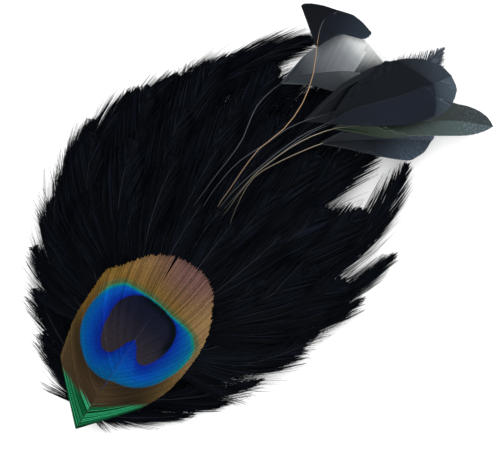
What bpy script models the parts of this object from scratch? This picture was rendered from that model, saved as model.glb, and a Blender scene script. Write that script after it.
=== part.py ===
# A peacock feather pad: a fan of black hackle feathers on an oval felt backing, a spray of trimmed
# feathers on bare quills, and the trimmed eye of a peacock feather over their roots. It lies face up.
import itertools
import math

import bmesh
import bpy
import numpy as np

# Lengths are in millimetres and angles in degrees. A place is given right of (x) and above (y) the
# pointed end of the peacock eye, as seen from above, and a height (z) is above the table.
MM = 0.001

BACKING_CENTRE = (0.0, 35.0)    # the model's origin is here, on the underside of the backing
BACKING_HALF = (17.0, 24.0)
BACKING_THICK = 1.5
BACKING_BEVEL = 0.3
BACKING_SIDES = 40

SHAFT_THICK = 0.3               # a feather is this thick along its shaft
VANE_THICK = 0.15               # and this thick at the edges of its vane
QUILL_HALF = 0.35               # half the width of a bare quill
SHAFT_REACH = 0.42              # places nearer than this to the middle of a feather have its full thickness
GAP = 0.3                       # between a feather and what it lies on

# The feathers share the shape of a low oval mound, which falls towards its rim, and towards the peacock
# eye's pointed end, where the last rows of hackles are rooted. FAN_HALF is near to the pad's outline.
FAN_CENTRE = (-2.0, 66.0)
FAN_HALF = (48.0, 62.0)
RIM_FALL = 2.5
ROOT_FALL = 3.0
ROOT_FALL_FROM = 58.0
ROOT_FALL_LENGTH = 50.0

# The spray curves up from the mound by this much over this length, from where its quills come out.
SPRAY_RISE = 3.0
SPRAY_RISE_FROM = 80.0
SPRAY_RISE_LENGTH = 60.0

# The pile is a map of heights in square cells, and each feather is laid on it in turn.
CELL = 0.5
PILE_FROM = (-80.0, -20.0)
PILE_CELLS = (320, 400)
STIFFNESS = 0.004               # how sharply a feather bends down past what holds it up, per millimetre

# A hackle's vane, whose places along the shaft are shares of its length
BARB_LEAN = 1.1                 # a barb's run along the shaft for each millimetre out from it
MOST_LEAN = 0.5                 # but no more than this share of the way to the tip
ROOT_WIDTH = 0.12               # the vane's width at the root, as a share of the most
WIDEST_FROM = 0.5
WIDEST_TO = 0.72
TAPER = 0.6                     # the power with which the width falls from there to the tip
TIP_HALF = 0.4
LOCK_CUT = 0.16                 # how deep the notches between the locks of a vane are, as a share

# Hackles whose tips make the outline, from the lower left round to the lower right: root, tip, turn to
# the right on the way to the tip, and width.
RIM_HACKLES = (
    ((-2, 6), (-24.3, 17.2), 20, 10.5),
    ((-5, 13), (-33.5, 26), 15, 15),
    ((-11, 20), (-41, 36), 10, 12.5),
    ((-13, 25), (-46, 61), 45, 12.8),
    ((-14, 30), (-47.5, 77), 64, 17),
    ((-14, 34), (-42, 91.5), 72, 18.5),
    ((-13, 39), (-34.5, 102), 74, 19),
    ((-12, 44), (-25, 115), 74, 17.5),
    ((-12, 48), (-6.8, 133.8), 78, 23.5),
    ((-7, 53), (-2.5, 122.5), 62, 24.5),
    ((-1, 55), (6, 128), 38, 23.5),
    ((3, 54), (15.3, 124.5), 25, 22.5),
    ((6, 52), (26, 118), 10, 21.5),
    ((11.6, 47.4), (34.7, 119), -60, 19),
    ((13, 40), (47.3, 95), -42, 12.5),
    ((11, 29), (46.9, 79), -30, 12.5),
    ((9, 22), (42, 63.5), -24, 9.5),
    ((3, 13), (36.5, 42.5), -30, 8),
    ((0, 12), (32, 31), -30, 8.5),
    ((0, 5), (25.5, 22.5), -20, 6.5),
)
# Rows laid on those, each nearer to the eye's pointed end: number of hackles, where their tips lie
# between the fan's centre and its rim, where their roots lie between the backing's centre and its edge,
# the angles round the fan between which the tips lie, width, and the turns at the row's two ends.
INNER_ROWS = (
    ("second", 10, 0.9, 0.78, (-105, 98), 21.5, (50, -30)),
    ("third", 9, 0.7, 0.6, (-98, 98), 20, (45, -25)),
    ("fourth", 7, 0.46, 0.42, (-88, 88), 18, (40, -20)),
)
TOP_ROW = ("top", 5, 0.17, 0.3, (-80, 80), 16, (25, 0))
ROOT_TWIST = (-45, 45)          # how far round the backing a row's roots lie past its tips, at its two ends

# The peacock eye: its shaft, and its vane's outline on either side, from the lowest barb's end to the top.
EYE_SHAFT = ((0, 0), (-0.4, 17), (-0.6, 34))
EYE_LEFT = (
    (-15.2, 14.3), (-16.1, 15.4), (-17.7, 21.6), (-18.9, 27.5), (-19.2, 32.7), (-19.2, 38.6),
    (-18.9, 44), (-15.7, 47.8), (-13.1, 51.7), (-9.7, 55.3), (-4.9, 58), (-0.7, 58.8),
)
EYE_RIGHT = (
    (12.6, 16.6), (14.7, 21.7), (16.1, 26.7), (16.6, 32.5), (16.7, 38.9), (15.9, 44.2), (14.3, 48.5),
    (12.1, 52.4), (10, 55.4), (7.4, 57.6), (3.8, 58.5), (-0.7, 58.8),
)
EYE_BOW = 0.1                   # how far a barb of the eye bows outwards, as a share of its length

# The spray, in the order in which it is laid. Each feather has a bare quill, then a shaft inside its
# vane, and the vane's trimmed edges on the left and right from the quill's end round to the tip. The
# lead is the share of an edge that the lowest barb makes.
SPRAY = (
    ("spray_hackle", 0.2,
     ((1.2, 60), (-1.3, 72.8), (-1, 78.5), (-0.4, 84.7), (0.3, 90.7), (2.4, 97.3), (4.7, 104.1),
      (7.4, 110.3), (12.5, 117.9)),
     ((12.5, 117.9), (17, 127.5), (21.4, 138.3), (24.1, 151.9)),
     ((11.9, 121.7), (12.1, 132.5), (15, 141.4), (17.5, 144), (19.6, 146.9), (21.3, 150), (24.1, 151.9)),
     ((16.2, 120.6), (21.6, 132.1), (26.6, 141.1), (27.6, 148.2), (26.3, 150.1), (24.1, 151.9))),
    ("spray_sheer", 0.22,
     ((-9, 62), (-8.8, 81.2), (-8.4, 88.4), (-8.4, 95.6), (-9.7, 101.1), (-10.3, 104), (-10.6, 107.4),
      (-9.7, 112.2), (-8.6, 115.6)),
     ((-8.6, 115.6), (-6.3, 119.2), (-2.6, 123), (3.2, 127.9), (8.7, 131.4), (14.2, 134.7)),
     ((-8.6, 115.6), (-8.2, 116.8), (-8.2, 120.5), (-7.8, 124.9), (-7.2, 127.6), (-6.2, 129.7),
      (-5.2, 132.7), (-3.7, 135.7), (-1.8, 137.9), (0.8, 139.2), (4.2, 139.3), (11.6, 137.4),
      (13.6, 136.4), (14.2, 134.7)),
     ((-8.6, 115.6), (-4.2, 118.7), (0, 120.7), (4.6, 122.2), (8.8, 125.3), (12.5, 130), (14.2, 134.7))),
    ("spray_low", 0.2,
     ((5, 60), (3.3, 71.1), (1.7, 77.1), (0.5, 83.9), (0.6, 89.4), (2.8, 94.5), (5.9, 100.2),
      (10.7, 107.9)),
     ((10.7, 107.9), (17, 113.4), (26.2, 120.5), (36.5, 127.4)),
     ((10.7, 107.9), (12.8, 112.5), (14.1, 114.5), (19.6, 119.8), (26.3, 125.5), (32.5, 129.2),
      (36.4, 128.8), (36.5, 127.4)),
     ((10.7, 107.9), (11.7, 107.9), (16.1, 110.5), (27.6, 115.2), (31.7, 117.2), (34.8, 119),
      (36.7, 123.1), (36.5, 127.4))),
    ("spray_olive", 0.2,
     ((0, 59), (-0.7, 71.2), (-0.3, 76.8), (-0.3, 82.6), (0.3, 89.9), (2.4, 96.8), (4.3, 102.1),
      (7.2, 107.8), (11.1, 113.4)),
     ((11.1, 113.4), (20.4, 121.4), (29.8, 129), (38.9, 135.8), (48.7, 140.6)),
     ((11.1, 113.4), (11.8, 116.5), (15.3, 123.5), (22, 131.7), (28.9, 136.9), (37.2, 140), (39.5, 141.1),
      (43, 141.9), (46.2, 141.8), (48.7, 140.6)),
     ((11.1, 113.4), (14.2, 114.4), (18.9, 117.3), (21.8, 118.3), (25, 120), (31.5, 125.3), (43.7, 133.9),
      (45.6, 135.7), (47.8, 138.5), (48.7, 140.6))),
    ("spray_spade_back", 0.3,
     ((-6, 61), (-6.8, 77.1), (-6.5, 84.6), (-5.6, 90.1), (-3.6, 95.4), (-1.7, 99.9), (0, 105.1),
      (3.2, 110.6)),
     ((3.2, 110.6), (10.6, 120), (19.2, 130.3), (27, 140.3), (30.1, 145.2)),
     ((3.2, 110.6), (3.7, 114.1), (3.8, 120.1), (7.7, 128.7), (10.2, 133.6), (12.6, 137.2), (16.4, 141.3),
      (20.6, 144.3), (26.1, 145.9), (30.1, 145.2)),
     ((3.2, 110.6), (12, 115.4), (21.6, 121.7), (29.4, 128.3), (33, 132.7), (34.6, 135.8), (34.9, 138.6),
      (34.6, 140.7), (33.7, 143.1), (30.1, 145.2))),
    ("spray_spade_front", 0.3,
     ((-3, 60), (-2.5, 73.8), (-2.3, 80.1), (-1.1, 86.8), (0.6, 93.6), (2.5, 100), (5, 106.8), (9, 113.7)),
     ((9, 113.7), (12.4, 120.9), (15.1, 124.3), (19.5, 129.6), (22.2, 133), (24, 135.7), (25.8, 138.4),
      (27.1, 140.2)),
     ((9, 113.7), (8, 116.1), (8.1, 120.8), (8.4, 124), (12.4, 137.6), (13.5, 138.2), (17.5, 139.6),
      (21.3, 140), (27.1, 140.2)),
     ((9, 113.7), (12.1, 116.1), (23.8, 123.4), (27.1, 126.1), (29.9, 128.9), (32.8, 133.1), (31, 136.2),
      (27.1, 140.2))),
    ("spray_fan", 0.05,
     ((2.4, 61), (-3.1, 74.2), (-3.1, 79.2), (-3.3, 85.2), (-3.3, 90.9), (-2.9, 96.9), (-0.7, 103.6),
      (0, 109.3), (-0.5, 116.1), (-2.8, 123.6), (-6.2, 129.9)),
     ((-6.2, 129.9), (-8.2, 134.2), (-8.8, 137.8), (-6.9, 141.9)),
     ((-6.2, 129.9), (-16.8, 137.3), (-14.7, 139), (-11.3, 140.6), (-6.9, 141.9)),
     ((-6.2, 129.9), (-5.2, 132.6), (-3.8, 135.5), (-1.6, 138), (0.8, 138.9), (3.5, 139.4), (4.6, 141.9),
      (0.4, 143), (-2.8, 143.2), (-6.9, 141.9))),
)

# How many faces a feather has along it, and across both sides of its vane.
RIM_CELLS = 10
INNER_CELLS = 9
TOP_CELLS = 9
QUILL_CELLS = 8
SPRAY_CELLS = 7
EYE_CELLS = 12
HACKLE_COLUMNS = 2
TOP_COLUMNS = 4
SPRAY_COLUMNS = 4
EYE_COLUMNS = 10

CURVE_STEPS = 12                # steps of a smooth line from each of its points to the next
FINE_STEPS = 18                 # steps across each face at which a feather is laid on the pile
SHARP_ANGLE = 40
SCREEN_GAMMA = 2.2

# name: sRGB colour as 0 to 1, roughness
FINISHES = {
    "black hackle": ((0.035, 0.04, 0.05), 0.55),
    "dark trimmed vane": ((0.08, 0.09, 0.1), 0.5),
    "sheer grey vane": ((0.45, 0.46, 0.48), 0.5),
    "olive vane": ((0.16, 0.2, 0.15), 0.5),
    "peacock eye": ((0.1, 0.28, 0.5), 0.4),
    "black felt": ((0.03, 0.03, 0.03), 0.95),
}
OWN_FINISHES = {
    "spray_hackle": "black hackle",
    "spray_sheer": "sheer grey vane",
    "spray_olive": "olive vane",
}


def clear_scene():
    for thing in list(bpy.data.objects):
        bpy.data.objects.remove(thing, do_unlink=True)


def finish(name):
    material = bpy.data.materials.get(name)
    if material is None:
        colour, roughness = FINISHES[name]
        material = bpy.data.materials.new(name)
        material.use_nodes = True
        shader = material.node_tree.nodes["Principled BSDF"]
        shader.inputs["Base Color"].default_value = (*(part ** SCREEN_GAMMA for part in colour), 1)
        shader.inputs["Roughness"].default_value = roughness
    return material


def ease(value):
    value = np.clip(value, 0, 1)
    return value * value * (3 - 2 * value)


def mound(places, lifted):
    """Height of the feathers' common surface at these places, which is 0 at its top."""
    out = (places - FAN_CENTRE) / FAN_HALF
    to_root = np.clip((ROOT_FALL_FROM - places[..., 1]) / ROOT_FALL_LENGTH, 0, None)
    height = -RIM_FALL * (out ** 2).sum(axis=-1) - ROOT_FALL * to_root ** 2
    if lifted:
        past = np.clip((places[..., 1] - SPRAY_RISE_FROM) / SPRAY_RISE_LENGTH, 0, None)
        height = height + (SPRAY_RISE + RIM_FALL) * past ** 2
    return height


def smooth_line(points, shares):
    """Places at these shares of the length of a smooth curve through the points."""
    points = np.array(points, float)
    points = np.vstack([2 * points[0] - points[1], points, 2 * points[-1] - points[-2]])
    t = np.linspace(0, 1, CURVE_STEPS, endpoint=False)[:, None]
    dense = [
        (2 * b + (c - a) * t + (2 * a - 5 * b + 4 * c - d) * t ** 2 + (3 * b - 3 * c + d - a) * t ** 3) / 2
        for a, b, c, d in zip(points, points[1:], points[2:], points[3:])
    ]
    return along_line(np.vstack([*dense, points[-2:-1]]), shares)


def along_line(points, shares):
    """Places at these shares of the length of a line with straight stretches."""
    points = np.array(points, float)
    run = np.append(0, np.cumsum(np.hypot(*np.diff(points, axis=0).T)))
    at = np.asarray(shares) * run[-1]
    return np.column_stack([np.interp(at, run, points[:, k]) for k in (0, 1)])


def directions(line):
    """The unit directions to the right of a line of places and along it, at each of them."""
    forward = np.gradient(line, axis=0)
    forward /= np.hypot(*forward.T)[:, None]
    return np.column_stack([forward[:, 1], -forward[:, 0]]), forward


def across_from(left, middle, right, columns):
    """Rows of places from each left point through its middle one to its right one."""
    u = np.linspace(-1, 1, columns + 1)[None, :, None]
    edge = np.where(u < 0, left[:, None], right[:, None])
    return middle[:, None] + (edge - middle[:, None]) * np.abs(u)


def bend(start, knee, end, share):
    """A place on the arc from start to end, which aims at the knee first, and the way to its right there."""
    place = (1 - share) ** 2 * start + 2 * share * (1 - share) * knee + share ** 2 * end
    forward = (1 - share) * (knee - start) + share * (end - knee)
    forward /= np.hypot(*forward.T)[:, None]
    return place, np.column_stack([forward[:, 1], -forward[:, 0]])


def hackle_plan(root, tip, turn, width, rows, columns):
    """A hackle seen from above: widest past its middle, with a notched edge that narrows to the tip."""
    root, tip = np.array(root, float), np.array(tip, float)
    chord = tip - root
    knee = (root + tip) / 2 + np.array([-chord[1], chord[0]]) / 2 * math.tan(math.radians(turn) / 2)
    shaft = np.linspace(0, 1, rows + 1)[:, None]
    edge = shaft + np.minimum(BARB_LEAN * width / 2 / np.hypot(*chord), (1 - shaft) * MOST_LEAN)
    half = ROOT_WIDTH + (1 - ROOT_WIDTH) * ease(edge / WIDEST_FROM)
    half *= np.clip((1 - edge) / (1 - WIDEST_TO), 0, 1) ** TAPER
    half *= 1 - LOCK_CUT * (np.arange(rows + 1)[:, None] % 2)
    half = np.maximum(half * width / 2, TIP_HALF)
    beside, side = bend(root, knee, tip, edge)
    return across_from(beside - side * half, bend(root, knee, tip, shaft)[0], beside + side * half, columns)


def eye_plan(rows, columns):
    """The peacock eye from above: its barbs spread from the shaft, the lowest along the pointed end."""
    s = np.linspace(0, 1, rows + 1)
    middle = smooth_line(EYE_SHAFT, s)
    plan = across_from(smooth_line(EYE_LEFT, s), middle, smooth_line(EYE_RIGHT, s), columns)
    u = np.linspace(-1, 1, columns + 1)[None, :, None]
    run = plan[:, [0] * (columns // 2) + [-1] * (columns // 2 + 1)] - middle[:, None]
    outward = np.sign(u) * np.stack([run[..., 1], -run[..., 0]], axis=-1)
    bow = EYE_BOW * 4 * np.abs(u) * (1 - np.abs(u)) * np.sin(math.pi * s)[:, None, None]
    return plan + outward * bow


def spray_plan(quill, shaft, left, right, lead):
    """A spray feather from above: rows of the bare quill, then rows of the trimmed vane."""
    bare = smooth_line(quill, np.linspace(0, 1, QUILL_CELLS + 1))[:-1]
    side = directions(bare)[0] * QUILL_HALF
    stem = across_from(bare - side, bare, bare + side, SPRAY_COLUMNS)
    s = np.linspace(0, 1, SPRAY_CELLS + 1)
    edge = lead + (1 - lead) * s
    vane = across_from(along_line(left, edge), smooth_line(shaft, s), along_line(right, edge), SPRAY_COLUMNS)
    return np.concatenate([stem, vane])


def fan_row(count, tip_share, root_share, spread, width, turns):
    """Hackles of one row, fanned evenly round the pad."""
    angles, twists = (np.radians(np.linspace(*ends, count)) for ends in (spread, ROOT_TWIST))
    for angle, twist, turn in zip(angles, twists, np.linspace(*turns, count)):
        tip = np.array(FAN_CENTRE) + np.array(FAN_HALF) * tip_share * (math.sin(angle), math.cos(angle))
        aim = math.atan2(*(tip - BACKING_CENTRE)) + twist
        root = BACKING_CENTRE + np.array(BACKING_HALF) * root_share * (math.sin(aim), math.cos(aim))
        yield root, tip, turn, width


class Feather:
    """One feather: its rows of places seen from above, their heights over the mound, and its finish."""

    def __init__(self, name, plan, material, lifted=False):
        self.name = name
        self.plan = plan
        self.material = material
        self.lifted = lifted
        self.heights = None

    def strips(self):
        """Close places between each row and the next, and how far each is from the first of the two."""
        part = np.linspace(0, 1, FINE_STEPS)[:, None, None]
        for row, following in zip(self.plan, self.plan[1:]):
            lines = (row * (1 - part) + following * part).swapaxes(0, 1)
            places = np.stack([a * (1 - part) + b * part for a, b in zip(lines, lines[1:])])
            shares = np.broadcast_to(part[None, :, :, 0].swapaxes(1, 2), places.shape[:3])
            yield places.reshape(-1, 2), shares.reshape(-1)


def cells_of(places):
    return tuple(np.floor((places - PILE_FROM) / CELL).astype(int).T)


def lay(feathers):
    """Lays the feathers in order on the table and the backing, each on what is under it."""
    column, row = np.meshgrid(*(np.arange(count) + 0.5 for count in PILE_CELLS), indexing="ij")
    centres = np.stack([column, row], axis=-1) * CELL + PILE_FROM
    reach = (centres - BACKING_CENTRE) / (np.array(BACKING_HALF) + CELL)
    pile = np.where(np.hypot(reach[..., 0], reach[..., 1]) < 1, BACKING_THICK, -GAP)
    for feather in feathers:
        strips = [(places, shares, mound(places, feather.lifted)) for places, shares in feather.strips()]
        under = [(pile[cells_of(places)] - base).max() + GAP + SHAFT_THICK / 2 for places, _, base in strips]
        held = np.maximum([*under, under[-1]], [under[0], *under])
        middle = feather.plan[:, feather.plan.shape[1] // 2]
        run = np.append(0, np.cumsum(np.hypot(*np.diff(middle, axis=0).T)))
        feather.heights = (held - STIFFNESS * (run[:, None] - run) ** 2).max(axis=1)
        for (places, shares, base), low, high in zip(strips, feather.heights, feather.heights[1:]):
            top = base + low + (high - low) * shares + SHAFT_THICK / 2
            for nudge in itertools.product((-CELL / 2, CELL / 2), repeat=2):
                np.maximum.at(pile, cells_of(places + nudge), top)


def build_feather(feather, collection):
    """A sheet through the feather's places, thickened most along the shaft."""
    rows, columns = feather.plan.shape[0] - 1, feather.plan.shape[1] - 1
    sheet = bmesh.new()
    bmesh.ops.create_grid(sheet, x_segments=columns, y_segments=rows, size=1)
    for corner in sheet.verts:
        column = round((corner.co.x + 1) / 2 * columns)
        row = round((corner.co.y + 1) / 2 * rows)
        x, y = feather.plan[row, column] - BACKING_CENTRE
        z = mound(feather.plan[row, column], feather.lifted) + feather.heights[row]
        corner.co = (x * MM, y * MM, z * MM)
    bmesh.ops.remove_doubles(sheet, verts=sheet.verts, dist=0.00001)
    mesh = bpy.data.meshes.new(feather.name)
    sheet.to_mesh(mesh)
    sheet.free()
    mesh.materials.append(finish(feather.material))
    thing = bpy.data.objects.new(feather.name, mesh)
    collection.objects.link(thing)
    shaft = thing.vertex_groups.new(name="shaft")
    centre = feather.plan[:, columns // 2] - BACKING_CENTRE
    for corner in mesh.vertices:
        place = np.array(corner.co[:2]) / MM
        on_shaft = np.hypot(*(centre - place).T).min() < SHAFT_REACH
        shaft.add([corner.index], 1.0 if on_shaft else VANE_THICK / SHAFT_THICK, "REPLACE")
    thicken = thing.modifiers.new("thickness", "SOLIDIFY")
    thicken.thickness = SHAFT_THICK * MM
    thicken.offset = 0
    thicken.vertex_group = "shaft"
    mesh.shade_smooth()
    return thing


def build_backing(collection):
    bpy.ops.mesh.primitive_cylinder_add(vertices=BACKING_SIDES, radius=1, depth=BACKING_THICK * MM)
    backing = bpy.context.object
    backing.name = backing.data.name = "backing_felt"
    for corner in backing.data.vertices:
        corner.co.x *= BACKING_HALF[0] * MM
        corner.co.y *= BACKING_HALF[1] * MM
        corner.co.z += BACKING_THICK * MM / 2
    bevel = backing.modifiers.new("edge", "BEVEL")
    bevel.width = BACKING_BEVEL * MM
    bevel.segments = 1
    bevel.limit_method = "ANGLE"
    backing.data.materials.append(finish("black felt"))
    backing.data.shade_smooth()
    backing.data.set_sharp_from_angle(angle=math.radians(SHARP_ANGLE))
    for home in list(backing.users_collection):
        home.objects.unlink(backing)
    collection.objects.link(backing)


def hackles(row_name, places, rows, columns):
    """A row of hackles: every other one first, and the ones between over them."""
    made = [
        Feather(f"hackle_{row_name}_{number:02d}", hackle_plan(*place, rows, columns), "black hackle")
        for number, place in enumerate(places, 1)
    ]
    return made[::2] + made[1::2]


def all_feathers():
    """Every feather, from the lowest to the one on top."""
    feathers = hackles("rim", RIM_HACKLES, RIM_CELLS, HACKLE_COLUMNS)
    for name, *row in INNER_ROWS:
        feathers += hackles(name, fan_row(*row), INNER_CELLS, HACKLE_COLUMNS)
    for name, lead, *lines in SPRAY:
        finish_name = OWN_FINISHES.get(name, "dark trimmed vane")
        feathers.append(Feather(name, spray_plan(*lines, lead), finish_name, lifted=True))
    name, *row = TOP_ROW
    feathers += hackles(name, fan_row(*row), TOP_CELLS, TOP_COLUMNS)
    feathers.append(Feather("peacock_eye", eye_plan(EYE_CELLS, EYE_COLUMNS), "peacock eye"))
    return feathers


def main():
    clear_scene()
    collection = bpy.data.collections.new("peacock feather pad")
    bpy.context.scene.collection.children.link(collection)
    build_backing(collection)
    feathers = all_feathers()
    lay(feathers)
    for feather in feathers:
        build_feather(feather, collection)


main()
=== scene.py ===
# Looks of the peacock feather pad: every feather is dressed in real barbs, combed along the same
# lines as its CAD solid, and the felt under them gets its finish. Places are in millimetres, right of
# (x) and above (y) the pointed end of the peacock eye, and become metres in the frame when a mesh is made.
import math
from functools import partial

import bmesh
import bpy
import numpy as np
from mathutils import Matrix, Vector
from mathutils.bvhtree import BVHTree


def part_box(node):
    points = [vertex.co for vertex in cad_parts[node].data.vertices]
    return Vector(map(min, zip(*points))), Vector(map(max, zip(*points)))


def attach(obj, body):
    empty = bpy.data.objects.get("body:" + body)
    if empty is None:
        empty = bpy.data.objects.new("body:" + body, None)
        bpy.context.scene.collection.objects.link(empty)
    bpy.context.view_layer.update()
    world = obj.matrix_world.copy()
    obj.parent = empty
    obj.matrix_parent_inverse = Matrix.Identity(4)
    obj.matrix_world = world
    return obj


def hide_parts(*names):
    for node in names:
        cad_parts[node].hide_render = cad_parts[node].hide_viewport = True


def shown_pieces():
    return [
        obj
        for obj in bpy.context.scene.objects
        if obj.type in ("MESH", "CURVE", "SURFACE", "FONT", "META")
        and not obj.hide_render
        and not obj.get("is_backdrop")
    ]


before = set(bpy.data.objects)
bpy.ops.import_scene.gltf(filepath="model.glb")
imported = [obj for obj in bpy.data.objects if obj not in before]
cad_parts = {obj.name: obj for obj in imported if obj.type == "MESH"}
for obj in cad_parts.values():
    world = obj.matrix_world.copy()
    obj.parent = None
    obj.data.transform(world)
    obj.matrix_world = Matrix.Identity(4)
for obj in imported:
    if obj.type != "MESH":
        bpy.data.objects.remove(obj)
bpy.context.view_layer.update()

mm = 0.001
pad = {
    "origin": np.array((0.0, 35.0)),       # the frame's origin, seen from the pointed end of the eye
    "backingHalf": np.array((17.0, 24.0)),
    "fanCentre": np.array((-2.0, 66.0)),
    "fanHalf": np.array((48.0, 62.0)),
}


def linearColour(hexColour):
    # sRGB hex to the linear values that the shaders use
    parts = [int(hexColour[at:at + 2], 16) / 255 for at in (1, 3, 5)]
    return (*(c / 12.92 if c <= 0.04045 else ((c + 0.055) / 1.055) ** 2.4 for c in parts), 1.0)


def addNode(tree, kind, inputs=(), operation=None, out=0, stops=(), points=(), **settings):
    # Adds a node, links or fills the inputs given by name or number, hex colours among them, sets its
    # operation and other settings, and returns one output. Stops are a ramp's places and colours, and
    # points are those of a curve.
    node = tree.nodes.new(kind)
    if operation:
        node.operation = operation
    for name, value in settings.items():
        setattr(node, name, value)
    for number, (at, hexColour) in enumerate(stops):
        stop = node.color_ramp.elements[number] if number < 2 else node.color_ramp.elements.new(at)
        stop.position, stop.color = at, linearColour(hexColour)
    for number, at in enumerate(points):
        curve = node.mapping.curves[0].points
        point = curve[number and -1] if number in (0, len(points) - 1) else curve.new(*at)
        point.location, point.handle_type = at, "VECTOR"
    for key, value in dict(inputs).items():
        if isinstance(value, bpy.types.NodeSocket):
            tree.links.new(value, node.inputs[key])
        else:
            node.inputs[key].default_value = linearColour(value) if str(value).startswith("#") else value
    return node.outputs[out] if node.outputs else node


# for a Mix node of two colours, whose colour inputs are numbers 6 and 7
mixColours = {"out": 2, "data_type": "RGBA"}

# the tree that makes a feather's barbs and quill: its inputs with their defaults
plumeInputs = (
    ("Barbs", 150),        # on each side of the shaft
    ("Barb Steps", 5),     # points along a barb
    ("Barb From", 0.0),    # share of the sheet at which the barbs start
    ("Barb To", 0.985),
    ("Uneven", 1.0),       # how unevenly the barbs are spaced
    ("Barb Width", 0.2 * mm),
    ("Barb Flat", 0.5),    # its thickness as a share of its width
    ("Tip Taper", 0.85),   # the share of its width that a barb loses towards its tip
    ("Taper Power", 1.6),  # 1 tapers evenly, more keeps the width longer
    ("Shortest", 0.7),     # the shortest barb as a share of the sheet's half width
    ("Few Long", 1.0),     # 1 spreads the lengths evenly, more makes long barbs rare
    ("Locks", 20.0),       # how many locks the barbs of a side stick together in
    ("Lock Pull", 0.6),    # how far a lock's barbs meet at their tips
    ("Lift", 1.2 * mm),    # how far barb ends stray up and down
    ("Stray", 0.8 * mm),   # how far they stray sideways
    ("Slit At", 2.0),      # where along a side barbs stand apart, 2 is nowhere
    ("Slit Side", 0.0),    # 0 is the left side, 1 the right one
    ("Slit Wide", 0.004),
    ("Quill To", 0.97),
    ("Quill Width", 0.45 * mm),
    ("Quill Thinnest", 0.25),
    ("Seed", 1),
    ("Barb Finish", None),
    ("Quill Finish", None),
)
lowestBarb = 0.25 * mm     # no barb dips below this, so none goes into what the pad lies on


def drawValue(add, given, number, low, high, index):
    # a random value for each index, from a seed of its own
    seed = add("ShaderNodeMath", {0: given["Seed"], 1: 10.0, 2: number}, "MULTIPLY_ADD")
    return add("FunctionNodeRandomValue", {2: low, 3: high, "ID": index, "Seed": seed}, out=1)


def barbPoints(add, given):
    # one point for each barb, left and right in turn, which carries the barb's own random values
    count = add("ShaderNodeMath", {0: given["Barbs"], 1: 2.0}, "MULTIPLY")
    index = add("GeometryNodeInputIndex")
    odd = add("ShaderNodeMath", {0: index, 1: 2.0}, "MODULO")
    side = add("ShaderNodeMath", {0: odd, 1: 2.0, 2: -1.0}, "MULTIPLY_ADD")
    spacing, reach, rise, sway, shade = (
        drawValue(add, given, number, low, high, index)
        for number, (low, high) in enumerate(((-0.5, 0.5), (0.0, 1.0), (-1.0, 1.0), (-1.0, 1.0), (0.0, 1.0))))
    order = add("ShaderNodeMath", {0: spacing, 1: given["Uneven"], 2: index}, "MULTIPLY_ADD")
    share = add("ShaderNodeMath", {0: order, 1: count}, "DIVIDE", use_clamp=True)
    place = add("ShaderNodeMapRange", {0: share, 3: given["Barb From"], 4: given["Barb To"]})

    # barbs stick together in locks: a lock has its own middle, lift, sway and length
    lock = add("ShaderNodeMath", {0: share, 1: given["Locks"]}, "MULTIPLY")
    lock = add("ShaderNodeMath", {0: lock}, "FLOOR")
    lockIndex = add("ShaderNodeMath", {0: lock, 1: 2.0, 2: odd}, "MULTIPLY_ADD")
    middle = add("ShaderNodeMath", {0: lock, 1: 0.5}, "ADD")
    middle = add("ShaderNodeMath", {0: middle, 1: given["Locks"]}, "DIVIDE")
    lockPlace = add("ShaderNodeMapRange", {0: middle, 3: given["Barb From"], 4: given["Barb To"]})
    lockRise, lockSway, lockReach = (
        drawValue(add, given, number, -1.0, 1.0, lockIndex) for number in (5000, 5001, 5002))
    rise = add("ShaderNodeMath", {0: rise, 1: 0.5, 2: lockRise}, "MULTIPLY_ADD")
    sway = add("ShaderNodeMath", {0: sway, 1: 0.5, 2: lockSway}, "MULTIPLY_ADD")
    reach = add("ShaderNodeMath", {0: lockReach, 1: 0.25, 2: reach}, "MULTIPLY_ADD", use_clamp=True)
    reach = add("ShaderNodeMath", {0: reach, 1: given["Few Long"]}, "POWER")
    reach = add("ShaderNodeMapRange", {0: reach, 3: given["Shortest"]})

    # the barbs on both sides of a slit are pushed apart, less the further they are from it
    fromSlit = add("ShaderNodeMath", {0: share, 1: given["Slit At"]}, "SUBTRACT")
    otherSide = add("ShaderNodeMath", {0: odd, 1: given["Slit Side"]}, "SUBTRACT")
    otherSide = add("ShaderNodeMath", {0: otherSide}, "ABSOLUTE")
    fromSlit = add("ShaderNodeMath", {0: otherSide, 1: 2.0, 2: fromSlit}, "MULTIPLY_ADD")
    slit = add("ShaderNodeMath", {0: fromSlit}, "SIGN")
    near = add("ShaderNodeMath", {0: fromSlit}, "ABSOLUTE")
    near = add("ShaderNodeMapRange", {0: near, 2: 0.03, 3: 1.0, 4: 0.0})
    for factor in (near, given["Slit Wide"]):
        slit = add("ShaderNodeMath", {0: slit, 1: factor}, "MULTIPLY")

    points = add("GeometryNodePoints", {"Count": count})
    values = {"side": side, "place": place, "lockPlace": lockPlace, "reach": reach, "rise": rise,
              "sway": sway, "slit": slit, "shade": shade}
    for name, value in values.items():
        points = add("GeometryNodeStoreNamedAttribute", {"Geometry": points, "Name": name, "Value": value})
    return points


def layOnSheet(add, sheet, across, up):
    # the place on a feather's sheet at these shares of the way across its vane and up its shaft
    where = add("ShaderNodeCombineXYZ", {0: across, 1: up})
    position = add("GeometryNodeInputPosition")
    sheetMap = add("GeometryNodeInputNamedAttribute", {"Name": "sheetMap"}, data_type="FLOAT_VECTOR")
    return add("GeometryNodeSampleUVSurface", {"Mesh": sheet, 1: position, 2: sheetMap, 3: where},
               data_type="FLOAT_VECTOR")


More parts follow.
